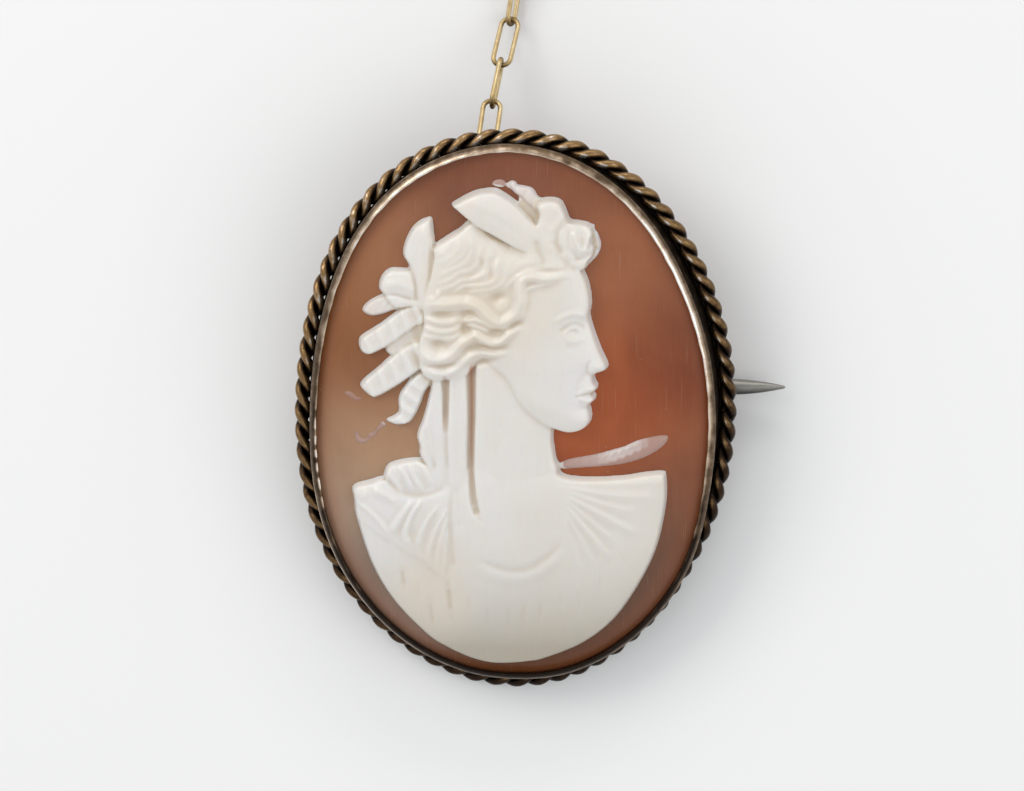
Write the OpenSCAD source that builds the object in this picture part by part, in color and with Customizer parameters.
// Oval cameo brooch lying face up, with a hinged pin and a safety chain.
// All lengths are in millimetres and all angles in degrees. +Z is up.
// The brooch itself is drawn flat, back plane at z = 0, and then laid down on its hinge and catch.

/* [Oval bezel] */
// Width over the bezel wall, side to side
bezel_w = 25; // [20:0.1:40]
// Length over the bezel wall, top to bottom
bezel_l = 34; // [28:0.1:60]
// Height of the bezel from its back plane to the top of the lip
bezel_h = 3.2; // [2.6:0.1:5]
// Thickness of the bezel wall
wall_t = 0.2; // [0.16:0.02:0.5]
// Height of the lip that is pressed over the shell
lip_h = 0.52; // [0.4:0.02:0.7]
// How far the lip reaches in over the shell, from the outside of the wall
lip_in = 0.4; // [0.34:0.02:0.8]
// How far the foot of the lip stands out past the wall
lip_flare = 0.08; // [0.04:0.01:0.12]
// How far each step of the lip's slope is set in
lip_step = 0.1; // [0.04:0.01:0.12]
// Width of the ledge that the shell rests on
ledge_w = 1.8; // [1.2:0.1:3]
// Thickness of the ledge
ledge_t = 0.4; // [0.3:0.05:0.8]

/* [Shell plaque] */
// Gap left around the shell and under the lip
shell_gap = 0.05; // [0.03:0.01:0.1]
// Rise of the domed ground from its edge to the middle
dome_rise = 1.5; // [0.8:0.1:2.5]
// Depth of the hollow in the back of the shell
hollow_rise = 1.1; // [0.3:0.1:1.8]
// Grid cells across the carved face, a multiple of four
carving_cells = 64; // [40:4:72]

/* [Carved bust] */
// Height of the bust from its lower edge to the top of the wreath
bust_l = 30.8; // [20:0.1:36]
// Width that the bust is drawn to, as high as the bust when undistorted
bust_w = 30; // [20:0.1:36]
// Side distance of the bust's middle from the oval's, towards the pin's tip
bust_side = -0.17; // [-1:0.01:1]
// How far the bust's middle stands above the oval's
bust_up = 0.33; // [-1:0.01:1]
// Height of the carving over the ground
relief_h = 1.5; // [0.8:0.1:2]
// Share of the oval over which the carving fades out at the edge
edge_fade = 0.05; // [0.03:0.01:0.1]

/* [Rope border] */
// Thickness of the twisted pair of wires
rope_d = 1; // [0.8:0.05:1.6]
// Number of full twists around the oval
rope_twists = 36; // [24:1:48]
// Height of the rope's middle over the back plane
rope_z = 1.1; // [0.9:0.05:1.6]
// How much higher the rope is soldered at the top of the oval than at its sides
rope_rise = 0.3; // [0:0.05:0.4]
// Gap between the rope and the bezel wall
rope_gap = 0.03; // [0.02:0.01:0.1]

/* [Pin and hinge] */
// Diameter of the pin stem
pin_d = 1.05; // [0.8:0.05:1.4]
// Distance of the pin's axis behind the back plane
pin_back = 1.9; // [1.7:0.1:3]
// Height of the pin's axis above the middle of the oval
pin_up = 0.7; // [0:0.1:3]
// Diameter of the stem where its point begins
point_d = 0.98; // [0.7:0.02:1.3]
// Radius of the stem's shoulder beside its knuckle
shoulder_r = 0.68; // [0.5:0.02:0.9]
// Distance of the shoulder's end from the hinge's axis
shoulder_l = 1.3; // [1.1:0.05:2]
// How far the pin's tip stands out past the rope
tip_out = 3.1; // [0:0.1:5]
// Length of the tapered point
tip_l = 3.6; // [2:0.1:6]
// Radius of the rounded tip
tip_r = 0.07; // [0.04:0.01:0.15]
// Distance of the hinge's axis from the outside of the wall
hinge_in = 1.5; // [1.3:0.1:3]
// Outer radius of the hinge knuckles
knuckle_r = 0.95; // [0.8:0.05:1.2]
// Width of the middle knuckle, which belongs to the pin
middle_knuckle_w = 1.2; // [0.8:0.1:2]
// Width of each outer knuckle
outer_knuckle_w = 0.9; // [0.6:0.1:1.5]
// Gap at each side of the middle knuckle
knuckle_gap = 0.06; // [0.03:0.01:0.15]
// Radius of the rivet
rivet_r = 0.35; // [0.25:0.05:0.45]
// Radial clearance of the rivet in its bores
rivet_gap = 0.04; // [0.02:0.01:0.08]
// Radius of the rivet's heads
rivet_head_r = 0.58; // [0.45:0.01:0.7]
// Thickness of the rivet's heads
rivet_head_t = 0.16; // [0.1:0.02:0.3]
// Thickness of the soldered plates of hinge and catch
plate_t = 0.35; // [0.25:0.05:0.6]

/* [Catch] */
// Radius of the space inside the hook
catch_in = 0.9; // [0.75:0.05:1.3]
// Thickness of the hook's strip
catch_t = 0.45; // [0.3:0.05:0.6]
// Width of the hook along the pin
catch_w = 1.6; // [1:0.1:2.5]
// Length of the hook's straight lip
catch_lip = 0.5; // [0.3:0.1:1]
// Distance of the hook's middle from the outside of the wall
catch_inset = 1.25; // [1.1:0.05:2]
// Side gap between the resting pin and the hook's lip
catch_gap = 0.15; // [0.1:0.01:0.3]

/* [Safety chain] */
// Thickness of the loop soldered behind the rim
loop_d = 0.44; // [0.3:0.02:0.6]
// Radius of the loop's middle line
loop_r = 0.58; // [0.5:0.02:0.9]
// Side distance of the loop from the middle of the oval
loop_side = 1.55; // [0:0.05:4]
// Distance of the loop's middle from the outside of the wall
loop_inset = 0.62; // [0.5:0.02:1.5]
// Distance of the loop's middle behind the back plane
loop_back = 0.25; // [0.2:0.05:0.6]
// Wire thickness of a link
link_d = 0.3; // [0.2:0.02:0.5]
// Outer length of a link
link_l = 3.5; // [2.4:0.1:5]
// Outer width of a link
link_w = 1.36; // [1.1:0.02:2.2]
// Gap between linked wires
link_gap = 0.05; // [0.03:0.01:0.1]

/* [Safety pin] */
// Wire thickness of the safety pin
guard_d = 0.5; // [0.4:0.02:0.7]
// Radius of the bend's middle line
guard_bend_r = 1.1; // [0.8:0.05:1.6]
// Length of the safety pin over all
guard_l = 15; // [10:0.5:24]
// Length of the cap that covers the point
guard_cap_l = 2.8; // [2:0.1:5]
// Width of the cap
guard_cap_w = 3.2; // [2.8:0.1:5]
// Thickness of the cap
guard_cap_t = 1; // [0.8:0.05:1.6]

/* [Hidden] */
$fn = 48;

// The outside of the bezel wall is an ellipse with these half axes.
half_w = bezel_w / 2;
half_l = bezel_l / 2;

// Heights in the brooch's own frame
lip_z = bezel_h - lip_h;
shell_edge_z = lip_z - shell_gap;
shell_back_z = ledge_t + shell_gap;
shell_inset = wall_t + shell_gap;

// Hinge and catch
pin_r = pin_d / 2;
hinge_x = -(half_w - hinge_in);
pin_z = -pin_back;
tip_x = half_w + rope_gap + rope_d + tip_out;
hinge_half_w = middle_knuckle_w / 2 + knuckle_gap + outer_knuckle_w;
hinge_low_z = pin_z - knuckle_r;
hinge_low_y = pin_up - hinge_half_w;
catch_x = half_w - catch_inset;
catch_plate_w = catch_w * 1.2;
// The stem's straight stretch ends a little before the catch.
stem_end = catch_x - catch_plate_w / 2 - catch_gap;
catch_edge_y = pin_up + pin_r + catch_gap;
catch_y = catch_edge_y + catch_lip;
catch_low_z = pin_z - catch_in - catch_t;

// The brooch rests on its lower back edge and on the hinge and catch, so it leans.
lean = atan(max(-hinge_low_z / (half_l + hinge_low_y), -catch_low_z / (half_l + catch_edge_y)));
lift = half_l * sin(lean);

// A point of the brooch's own frame, laid down
function laid(p) = [p[0], p[1] * cos(lean) - p[2] * sin(lean),
                    p[1] * sin(lean) + p[2] * cos(lean) + lift];

// The chain hangs from its loop and falls to the ground. Each row turns one link.
// fall: angle below level, heading: angle from +Y towards +X, roll: turn about the link's length
FALL = 0;
HEADING = 1;
ROLL = 2;
chain_turns = [
    [36, 6, 0],
    [31.5, 10, 84],
    [27.5, 12, -8],
    [3, 9, 70],
    [0.5, 14, 0]
];
loop_y = half_l * sqrt(1 - loop_side * loop_side / (half_w * half_w)) - loop_inset;
loop_z = -loop_back;
first_fall = chain_turns[0][FALL] + lean;
first_reach = loop_r - loop_d / 2 - link_d / 2 - link_gap;
chain_start = laid([-loop_side, loop_y + first_reach * cos(first_fall),
                    loop_z - first_reach * sin(first_fall)]);
function way(t) = [cos(t[FALL]) * sin(t[HEADING]), cos(t[FALL]) * cos(t[HEADING]), -sin(t[FALL])];
// Distance between the middle lines of a link's two end bends
link_pitch = link_l - link_d;
// Start of the middle line of link i, where i counts from 0
function link_start(i) = i == 0 ? chain_start
    : link_start(i - 1) + link_pitch * way(chain_turns[i - 1])
      - (link_d + link_gap) * (way(chain_turns[i - 1]) + way(chain_turns[i])) / 2;
// The safety pin's thicker wire keeps the same gap.
guard_turn = chain_turns[4];
guard_start = link_start(3) + link_pitch * way(chain_turns[3])
    - ((link_d + guard_d) / 2 + link_gap) * (way(chain_turns[3]) + way(guard_turn)) / 2;
guard_end = guard_start + (guard_l - guard_d / 2) * way(guard_turn);

// The origin is the middle of the box's bottom face.
rope_out = rope_gap + rope_d / 2;
box_low_x = -(half_w + rope_out + rope_d / 2);
box_low_y = laid([0, -(half_l + rope_out), rope_z - rope_rise])[1] - rope_d / 2;
box_high_y = guard_end[1] + guard_cap_w / 2 * abs(sin(guard_turn[HEADING]));
origin = [(box_low_x + tip_x) / 2, (box_low_y + box_high_y) / 2, 0];

// A point at angle t of the ellipse, set out by n, and the direction out from there
function out_from(t) = let (v = [half_l * cos(t), half_w * sin(t)]) v / norm(v);
function on_oval(t, n) = [half_w * cos(t), half_l * sin(t)] + n * out_from(t);
// Rows of length walked around the set-out oval and the angle t reached there
walk_steps = 720;
function walk(n) = [for (k = 0, s = 0; k <= walk_steps;
        s = s + norm(on_oval((k + 1) * 360 / walk_steps, n) - on_oval(k * 360 / walk_steps, n)),
        k = k + 1) [s, k * 360 / walk_steps]];

// A grid cell's corner (s, t), each from -1 to 1, carried to the shell's outline.
// The result holds the place and the share of the way from the middle to the edge.
function on_shell(s, t) = let (x = s * sqrt(1 - t * t / 2), y = t * sqrt(1 - s * s / 2))
    [[(half_w - shell_inset) * x, (half_l - shell_inset) * y], norm([x, y])];

// The carving is a table of tapered rounded ridges.
// x, y and r of each end are hundredths of the bust's width and height, from the oval's middle.
// base and rise are shares of the carving's height: the side wall, and the round top over it.
// Each side wall slopes over the distance side_slope.
side_slope = 1.3;
X0 = 0;
Y0 = 1;
R0 = 2;
X1 = 3;
Y1 = 4;
R1 = 5;
BASE = 6;
RISE = 7;
ridges = [
    // Head: skull, face, cheek, jaw, chin, brow, nose and lips
    [-5, 22, 12.5, 2, 25, 12, 0.50, 0.40],
    [5, 23, 11, 7, 12, 9.5, 0.45, 0.35],
    [2, 11, 8.5, 11, 2.5, 4.8, 0.45, 0.35],
    [9, 30, 5, 12.6, 21.5, 3.8, 0.40, 0.30],
    [12, -0.2, 2.9, 9, -1, 3.2, 0.40, 0.30],
    [14.6, 18, 1.9, 17.6, 10.6, 1.8, 0.35, 0.25],
    [14, 6.2, 2.2, 15.6, 6, 1.5, 0.35, 0.25],
    [13.6, 3.6, 2.2, 15, 3.6, 1.4, 0.35, 0.25],
    // Neck
    [-3, 8, 8, 0, -4, 7.6, 0.35, 0.35],
    [0, -4, 7.6, 1, -18, 9, 0.35, 0.35],
    // Hair over the crown
    [8, 29, 3.4, -3, 34, 3.4, 0.60, 0.32],
    [-3, 34, 3.4, -14, 28, 3.2, 0.60, 0.32],
    [7, 25, 3, -4, 28.5, 3, 0.68, 0.28],
    [-4, 28.5, 3, -16, 22, 3, 0.62, 0.30],
    // Hair swept back over the ear
    [6, 21, 2.8, -6, 22.5, 3.2, 0.70, 0.30],
    [-6, 22.5, 3.2, -17, 16, 2.8, 0.62, 0.30],
    [4, 16.5, 2.6, -6, 17, 3.2, 0.70, 0.30],
    [-6, 17, 3.2, -16.5, 10.5, 2.8, 0.62, 0.30],
    [1, 12, 2.4, -7, 11, 2.8, 0.62, 0.30],
    [-7, 11, 2.8, -15, 5.5, 2.4, 0.55, 0.30],
    // Locks behind the neck
    [-14.5, 7, 2.8, -14, -7, 2.8, 0.40, 0.35],
    [-14, -7, 2.8, -17, -19, 2, 0.40, 0.32],
    [-10, 5, 2.6, -9.5, -8, 2.8, 0.40, 0.35],
    [-9.5, -8, 2.8, -8, -19, 2, 0.40, 0.32],
    // Big leaf on the crown and the leaves of the wreath
    [-12.1, 44.6, 0.6, -4, 43.5, 3.9, 0.42, 0.42],
    [-4, 43.5, 3.9, 5.5, 36.8, 3.4, 0.42, 0.42],
    [2, 41.5, 2.6, 4.6, 45, 2.2, 0.35, 0.35],
    [-4, 46.5, 1.4, -2.6, 48.2, 0.8, 0.12, 0.20],
    [7, 39, 3.2, 10.8, 42.2, 2.2, 0.40, 0.38],
    [10.5, 36, 3.2, 15, 38.8, 2.2, 0.40, 0.38],
    [11.5, 31.5, 2.8, 18.4, 35, 1.4, 0.38, 0.36],
    // Upright leaf and leaf pair at the back
    [-15.8, 40.6, 0.6, -17.6, 34.5, 3.3, 0.36, 0.36],
    [-17.6, 34.5, 3.3, -15, 25, 2.8, 0.40, 0.36],
    [-26, 29.4, 0.7, -20, 27, 2.5, 0.32, 0.34],
    [-20, 27, 2.5, -15, 24.5, 2.2, 0.38, 0.34],
    [-30, 24, 0.6, -23, 23, 2.2, 0.24, 0.30],
    [-23, 23, 2.2, -16, 21, 2.2, 0.32, 0.32],
    // Ribbon ends at the nape
    [-31.4, 14.6, 1.6, -19.7, 21.5, 2.1, 0.30, 0.32],
    [-31, 5.2, 1.5, -18.7, 15.6, 2.1, 0.30, 0.32],
    [-23.2, -2.1, 1.5, -17.6, 8.3, 2, 0.30, 0.32],
    [-30, -6.2, 0.7, -23.2, -2.1, 1.5, 0.12, 0.22],
    // Left shoulder with its crumpled folds
    [-31, -17, 2, -14.5, -11, 2.6, 0.40, 0.36],
    [-30, -21, 1.9, -17, -15.5, 2.2, 0.42, 0.36],
    [-28.5, -25.5, 1.9, -14, -19, 2.2, 0.44, 0.36],
    [-26.5, -30, 1.9, -12, -22.5, 2, 0.46, 0.36],
    [-23, -35, 1.8, -9.5, -26, 1.9, 0.46, 0.36],
    [-18, -39.5, 1.7, -7, -30, 1.8, 0.46, 0.36],
    // Right shoulder, its folds and the thin strip over it
    [10, -13, 2.4, 30, -12.6, 2.2, 0.46, 0.38],
    [12, -16, 2.2, 30.5, -18, 2, 0.46, 0.36],
    [12, -18.5, 2, 29.5, -24, 2, 0.46, 0.36],
    [11.5, -21, 2, 27, -30, 1.9, 0.46, 0.36],
    [11, -24, 1.9, 23, -35, 1.8, 0.46, 0.36],
    [9, -10, 1, 31, -6.4, 0.8, 0.16, 0.22],
    // Curved edge of the dress under the neck
    [-12, -19, 1.5, -6, -30, 1.5, 0.58, 0.30],
    [-6, -30, 1.5, 3, -32.6, 1.5, 0.58, 0.30],
    [3, -32.6, 1.5, 10.5, -29.5, 1.5, 0.58, 0.30],
    [10.5, -29.5, 1.5, 14, -19, 1.5, 0.58, 0.30]
];
// The bust is cut off below by an oval and above by the shoulders.
bust_middle = [0, -14];
bust_half = [32, 37];
function shoulder(x) = x < 0 ? -13 + 7 * exp(-(x + 6) * (x + 6) / 160) - 3 * (x < -6 ? (x + 6) / -26 : 0)
    : -12 + 6 * exp(-x * x / 60);
function bust_body(p) = let (
        e = norm([(p[0] - bust_middle[0]) / bust_half[0], (p[1] - bust_middle[1]) / bust_half[1]]),
        under = (shoulder(p[0]) - p[1]) / 6)
    e >= 1 || under <= 0 ? 0
    : (0.45 + 0.25 * sqrt(1 - e * e)) * sqrt(min(1, under)) * sqrt(min(1, (1 - e) * 12));
function ridge(p, w) = let (
        a = [w[X0], w[Y0]], b = [w[X1], w[Y1]] - a,
        t = min(1, max(0, (p - a) * b / (b * b))),
        d = norm(p - a - t * b), r = w[R0] + (w[R1] - w[R0]) * t)
    d >= r ? 0 : (w[BASE] + w[RISE] * sqrt(1 - d * d / (r * r))) * min(1, (r - d) / side_slope);
function carving(p) = max(bust_body(p), max([for (w = ridges) ridge(p, w)]));
function front_z(q) = let (p = [(q[0][0] - bust_side) * 100 / bust_w, (q[0][1] - bust_up) * 100 / bust_l])
    shell_edge_z + dome_rise * (1 - q[1] * q[1])
    + (q[1] < 1 - 2 * edge_fade ? relief_h * min(1, (1 - 2 * edge_fade - q[1]) / edge_fade) * carving(p) : 0);
function back_z(share) = shell_back_z + hollow_rise * (1 - share * share);

module cameo_flat() {
    n = carving_cells;
    m = n / 4;
    front = [for (j = [0 : n], i = [0 : n]) let (q = on_shell(2 * i / n - 1, 2 * j / n - 1))
        [q[0][0], q[0][1], front_z(q)]];
    back = [for (j = [0 : m], i = [0 : m]) let (q = on_shell(2 * i / m - 1, 2 * j / m - 1))
        [q[0][0], q[0][1], back_z(q[1])]];
    first_back = len(front);
    // Indices around the two edges, anticlockwise from the corner s = t = -1
    function rim(k, n) = k < n ? k : k < 2 * n ? (k - n) * (n + 1) + n
        : k < 3 * n ? n * (n + 1) + 3 * n - k : (4 * n - k) * (n + 1);
    function over(k) = rim(k % (4 * n), n);
    function under(k) = first_back + rim(k % (4 * m), m);
    front_faces = [for (j = [0 : n - 1], i = [0 : n - 1]) let (a = j * (n + 1) + i)
        each (i < n / 2) == (j < n / 2)
            ? [[a, a + n + 2, a + 1], [a, a + n + 1, a + n + 2]]
            : [[a, a + n + 1, a + 1], [a + 1, a + n + 1, a + n + 2]]];
    back_faces = [for (j = [0 : m - 1], i = [0 : m - 1]) let (a = first_back + j * (m + 1) + i)
        each (i < m / 2) == (j < m / 2)
            ? [[a, a + 1, a + m + 2], [a, a + m + 2, a + m + 1]]
            : [[a, a + 1, a + m + 1], [a + 1, a + m + 2, a + m + 1]]];
    edge_faces = [for (k = [0 : 4 * m - 1])
        each concat([for (f = [0 : 3]) [under(k), over(4 * k + f), over(4 * k + f + 1)]],
                    [[under(k), over(4 * k + 4), under(k + 1)]])];
    polyhedron(concat(front, back), concat(front_faces, back_faces, edge_faces));
}

// One ring of the rope: two round wires side by side, turned by the twist.
rope_rings_per_twist = 8;
rope_waist = 0.34;
module rope_flat() {
    rings = rope_twists * rope_rings_per_twist;
    walked = walk(rope_out);
    whole = walked[walk_steps][0];
    // Section as shares of the rope's radius: along the pair and across it
    section = [[1, 0], [0.84, 0.38], [0.45, 0.48], [0, rope_waist], [-0.45, 0.48],
               [-0.84, 0.38], [-1, 0], [-0.84, -0.38], [-0.45, -0.48], [0, -rope_waist],
               [0.45, -0.48], [0.84, -0.38]];
    points = [for (k = [0 : rings - 1])
        let (t = lookup(whole * k / rings, walked), at = on_oval(t, rope_out), out = out_from(t),
             turn = 360 * k / rope_rings_per_twist)
        for (q = section) let (
            n = rope_d / 2 * (q[0] * cos(turn) - q[1] * sin(turn)),
            z = rope_d / 2 * (q[0] * sin(turn) + q[1] * cos(turn)))
        [at[0] + n * out[0], at[1] + n * out[1], rope_z + rope_rise * sin(t) + z]];
    m = len(section);
    faces = [for (k = [0 : rings - 1], j = [0 : m - 1]) let (
            a = k * m + j, b = k * m + (j + 1) % m,
            c = ((k + 1) % rings) * m + (j + 1) % m, d = ((k + 1) % rings) * m + j)
        each [[a, b, c], [a, c, d]]];
    polyhedron(points, faces);
}

// An upright oval block, set out from the wall's outside by n
module oval_block(z, h, n) {
    translate([0, 0, z])
        linear_extrude(height = h)
            scale([half_w + n, half_l + n])
                circle(r = 1, $fn = 120);
}

module bezel() {
    difference() {
        union() {
            oval_block(0, lip_z + lip_h / 4, 0);
            oval_block(lip_z, lip_h / 3, lip_flare);
            oval_block(lip_z + lip_h / 6, lip_h / 2, lip_flare - lip_step);
            oval_block(lip_z + lip_h / 3, lip_h * 2 / 3, lip_flare - 2 * lip_step);
        }
        oval_block(ledge_t, lip_z - ledge_t, -wall_t);
        oval_block(-1, ledge_t + 2, -ledge_w);
        oval_block(lip_z - lip_h, 3 * lip_h, -lip_in);
    }
}

// A round bar along +Y from the origin
module bar_y(r, l) {
    rotate([-90, 0, 0])
        cylinder(r = r, h = l);
}

// A round bar along +X from the origin
module wire_x(r, l) {
    rotate([0, 90, 0])
        cylinder(r = r, h = l);
}

module outer_knuckles() {
    for (side = [-1, 1]) {
        y = pin_up + side * (middle_knuckle_w / 2 + knuckle_gap + outer_knuckle_w / 2) - outer_knuckle_w / 2;
        translate([hinge_x, y, pin_z])
            difference() {
                union() {
                    bar_y(knuckle_r, outer_knuckle_w);
                    translate([-knuckle_r * 0.8, 0, 0])
                        cube([knuckle_r * 1.6, outer_knuckle_w, pin_back]);
                }
                translate([0, -1, 0])
                    bar_y(rivet_r + rivet_gap, outer_knuckle_w + 2);
            }
    }
}

module catch_hook() {
    translate([catch_x - catch_w / 2, catch_y, pin_z]) {
        rotate([90, 0, 90])
            rotate_extrude(angle = 180, start = -90)
                translate([catch_in, 0])
                    square([catch_t, catch_w]);
        translate([0, -catch_lip, -catch_in - catch_t])
            cube([catch_w, catch_lip, catch_t]);
        translate([0, -catch_lip * 0.6, catch_in + catch_t * 0.4])
            cube([catch_w, catch_lip * 0.6 + catch_in, pin_back - catch_in - catch_t * 0.4]);
    }
}

module setting_flat() {
    bezel();
    // Plates soldered to the ledge
    translate([hinge_x - knuckle_r * 1.25, pin_up - hinge_half_w - 0.2, -plate_t])
        cube([knuckle_r * 2.5, 2 * hinge_half_w + 0.4, plate_t + ledge_t / 2]);
    translate([catch_x - catch_plate_w / 2, catch_y - catch_lip - 0.2, -plate_t])
        cube([catch_plate_w, catch_lip + catch_in + catch_t + 0.5, plate_t + ledge_t / 2]);
    outer_knuckles();
    catch_hook();
    // Loop for the safety chain, on two legs
    translate([-loop_side, loop_y, loop_z]) {
        rotate([90, 0, 90])
            rotate_extrude(angle = 180, start = 180)
                translate([loop_r, 0])
                    circle(d = loop_d);
        for (side = [-1, 1])
            translate([0, side * loop_r, 0])
                cylinder(d = loop_d, h = loop_back + ledge_t / 2);
    }
}

module rivet_flat() {
    reach = hinge_half_w + 0.02;
    translate([hinge_x, pin_up, pin_z]) {
        translate([0, -reach, 0])
            bar_y(rivet_r, 2 * reach);
        translate([0, -reach - rivet_head_t, 0])
            bar_y(rivet_head_r, rivet_head_t);
        translate([0, reach, 0])
            bar_y(rivet_head_r, rivet_head_t);
    }
}

module pin_flat() {
    translate([hinge_x, pin_up, pin_z])
        difference() {
            union() {
                translate([0, -middle_knuckle_w / 2, 0])
                    bar_y(knuckle_r, middle_knuckle_w);
                wire_x(shoulder_r, shoulder_l);
                wire_x(pin_r, stem_end - hinge_x);
            }
            translate([0, -middle_knuckle_w, 0])
                bar_y(rivet_r + rivet_gap, 2 * middle_knuckle_w);
        }
    translate([stem_end, pin_up, pin_z])
        rotate([0, 90, 0])
            cylinder(r1 = pin_r, r2 = point_d / 2, h = tip_x - tip_l - stem_end);
    translate([tip_x - tip_l, pin_up, pin_z])
        rotate([0, 90, 0])
            cylinder(r1 = point_d / 2, r2 = tip_r, h = tip_l);
}

// Bend of a round wire: a half ring in the XY plane, open towards +X
module half_ring(middle_r, wire_r) {
    rotate_extrude(angle = 180, start = 90)
        translate([middle_r, 0])
            circle(r = wire_r);
}

// Carries a piece drawn along +X to a place in the chain.
module along_chain(at, turn) {
    translate(at - origin)
        rotate([0, 0, 90 - turn[HEADING]])
            rotate([0, turn[FALL], 0])
                rotate([turn[ROLL], 0, 0])
                    children();
}

module link(i) {
    bend = (link_w - link_d) / 2;
    straight = link_pitch - 2 * bend;
    along_chain(link_start(i), chain_turns[i]) {
        translate([bend, 0, 0])
            half_ring(bend, link_d / 2);
        translate([bend + straight, 0, 0])
            rotate([0, 0, 180])
                half_ring(bend, link_d / 2);
        for (side = [-1, 1])
            translate([bend, side * bend, 0])
                wire_x(link_d / 2, straight);
    }
}

module safety_pin() {
    arm = guard_l - guard_d / 2 - guard_bend_r - guard_cap_l / 2;
    color([0.80, 0.66, 0.36])
        along_chain(guard_start, guard_turn) {
            translate([guard_bend_r, 0, 0]) {
                half_ring(guard_bend_r, guard_d / 2);
                for (side = [-1, 1])
                    translate([0, side * guard_bend_r, 0])
                        wire_x(guard_d / 2, arm);
            }
            translate([guard_l - guard_d / 2 - guard_cap_l, -guard_cap_w / 2, -guard_cap_t / 2])
                cube([guard_cap_l - guard_cap_t, guard_cap_w, guard_cap_t]);
            translate([guard_l - guard_d / 2 - guard_cap_t, guard_cap_t / 2 - guard_cap_w / 2, 0])
                bar_y(guard_cap_t / 2, guard_cap_w - guard_cap_t);
        }
}

// Lays a piece of the brooch down on its hinge and catch.
module lay_down() {
    translate([0, 0, lift] - origin)
        rotate([lean, 0, 0])
            children();
}

module cameo() {
    color([0.86, 0.80, 0.72])
        lay_down() cameo_flat();
}

module setting() {
    color([0.66, 0.52, 0.30])
        lay_down() setting_flat();
}

module rope_border() {
    color([0.60, 0.45, 0.24])
        lay_down() rope_flat();
}

module hinge_rivet() {
    color([0.62, 0.50, 0.32])
        lay_down() rivet_flat();
}

module pin_stem() {
    color([0.55, 0.55, 0.54])
        lay_down() pin_flat();
}

module link_1() {
    color([0.82, 0.70, 0.42])
        link(0);
}

module link_2() {
    color([0.82, 0.70, 0.42])
        link(1);
}

module link_3() {
    color([0.82, 0.70, 0.42])
        link(2);
}

module link_4() {
    color([0.82, 0.70, 0.42])
        link(3);
}

cameo();
setting();
rope_border();
hinge_rivet();
pin_stem();
link_1();
link_2();
link_3();
link_4();
safety_pin();
